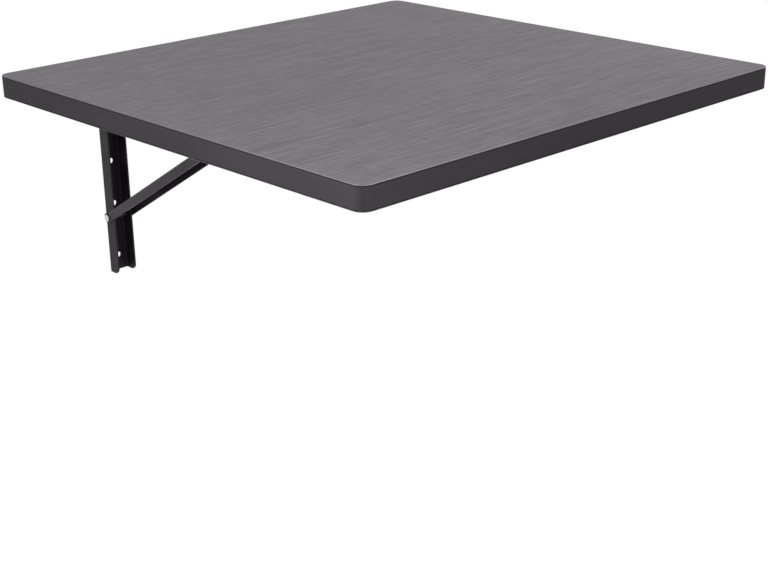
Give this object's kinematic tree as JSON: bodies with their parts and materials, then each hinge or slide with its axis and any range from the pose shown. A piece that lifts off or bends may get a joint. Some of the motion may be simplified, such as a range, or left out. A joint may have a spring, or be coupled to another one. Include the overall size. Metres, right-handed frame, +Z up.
{
  "type": "wall-mounted folding workbench",
  "caption": "Square laminated bench board on steel folding wall brackets; it folds down flat against the wall and locks up on sliding struts with lift latches.",
  "frame": {"origin": "centre of the outer four wall screw holes, on the wall plane", "axes": "+Y points into the wall and -Y out over the bench, +Z up, +X to the right as seen from in front of the wall"},
  "size_m": [0.5, 0.481, 0.216],
  "materials": {
    "laminate": "satin grey laminate with a fine straight grain",
    "edge_band": "satin dark grey edging",
    "board_core": "raw particle board",
    "bracket": "satin grey powder coat",
    "zinc": "bright zinc plate",
    "spring_steel": "oiled spring steel"
  },
  "bodies": {
    "wall_legs": {"left_wall_leg": "bracket", "left_strut_rivet": "zinc", "left_hinge_rivet": "zinc", "left_hinge_spacers": "zinc", "right_wall_leg": "bracket", "right_strut_rivet": "zinc", "right_hinge_rivet": "zinc", "right_hinge_spacers": "zinc"},
    "board": {"board_core": "board_core", "top_laminate": "laminate", "bottom_laminate": "laminate", "edge_band": "edge_band", "left_arm": "bracket", "left_arm_screws": "zinc", "left_latch_rivet": "zinc", "left_latch_spring": "spring_steel", "right_arm": "bracket", "right_arm_screws": "zinc", "right_latch_rivet": "zinc", "right_latch_spring": "spring_steel"},
    "left_strut": {"left_strut": "bracket", "left_slide_pin": "zinc"},
    "right_strut": {"right_strut": "bracket", "right_slide_pin": "zinc"},
    "left_latch": {"left_latch_plate": "spring_steel"},
    "right_latch": {"right_latch_plate": "spring_steel"}
  },
  "joints": [
    {"name": "fold", "type": "hinge", "parent": "wall_legs", "child": "board", "pos_m": [0, -0.0095, 0.098], "axis": [1, 0, 0], "range_deg": [0, 90]},
    {"name": "left_strut_swing", "type": "hinge", "parent": "wall_legs", "child": "left_strut", "pos_m": [-0.1505, -0.006, -0.0305], "axis": [1, 0, 0], "range_deg": [0, 122]},
    {"name": "right_strut_swing", "type": "hinge", "parent": "wall_legs", "child": "right_strut", "pos_m": [0.1505, -0.006, -0.0305], "axis": [1, 0, 0], "range_deg": [0, 122]},
    {"name": "left_latch_press", "type": "hinge", "parent": "board", "child": "left_latch", "pos_m": [-0.1505, -0.28366, 0.1025], "axis": [1, 0, 0], "range_deg": [0, 3], "stiffness_Nm_per_rad": 0.6, "springref_deg": -6.88, "deforming": ["left_latch_spring"]},
    {"name": "right_latch_press", "type": "hinge", "parent": "board", "child": "right_latch", "pos_m": [0.1505, -0.28366, 0.1025], "axis": [1, 0, 0], "range_deg": [0, 3], "stiffness_Nm_per_rad": 0.6, "springref_deg": -6.88, "deforming": ["right_latch_spring"]}
  ],
  "couplings": [
    {"joint": "left_strut_swing", "follows": "fold", "ratio": 1.3472},
    {"joint": "right_strut_swing", "follows": "fold", "ratio": 1.3472}
  ]
}
